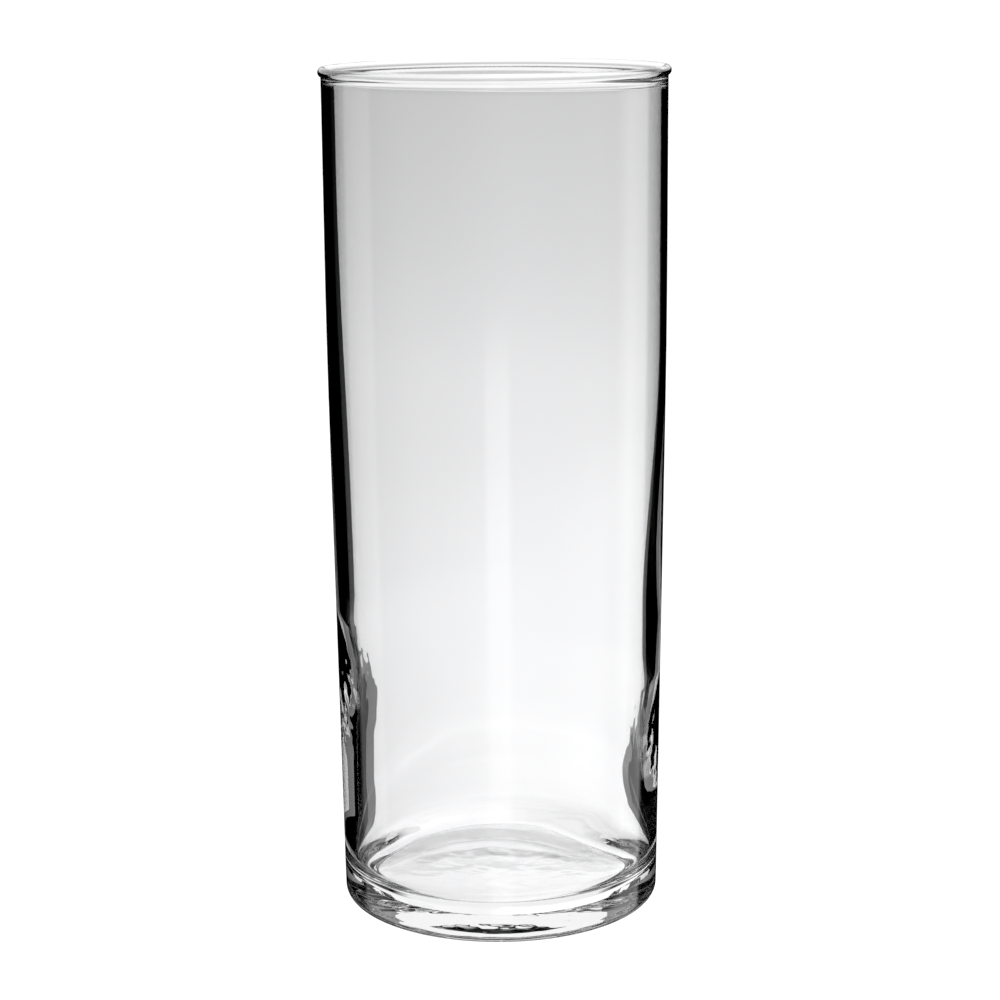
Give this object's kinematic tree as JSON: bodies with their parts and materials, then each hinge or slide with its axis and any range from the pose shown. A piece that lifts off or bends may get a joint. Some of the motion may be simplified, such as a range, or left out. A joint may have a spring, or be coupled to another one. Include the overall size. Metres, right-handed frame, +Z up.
{
  "type": "glass cylinder vase",
  "caption": "Tall clear glass cylinder vase with a rolled rim, a solid base and a wall that thickens towards the floor.",
  "frame": {"origin": "centre of the foot, on the surface that the vase stands on", "axes": "+Z up along the vase's axis, from the foot to the rim; X and Y lie in the table's plane and are interchangeable"},
  "size_m": [0.1034, 0.1034, 0.254],
  "materials": {
    "clear_glass": "fire-polished, clear and colourless"
  },
  "bodies": {
    "root": {"vase": "clear_glass"}
  },
  "joints": []
}
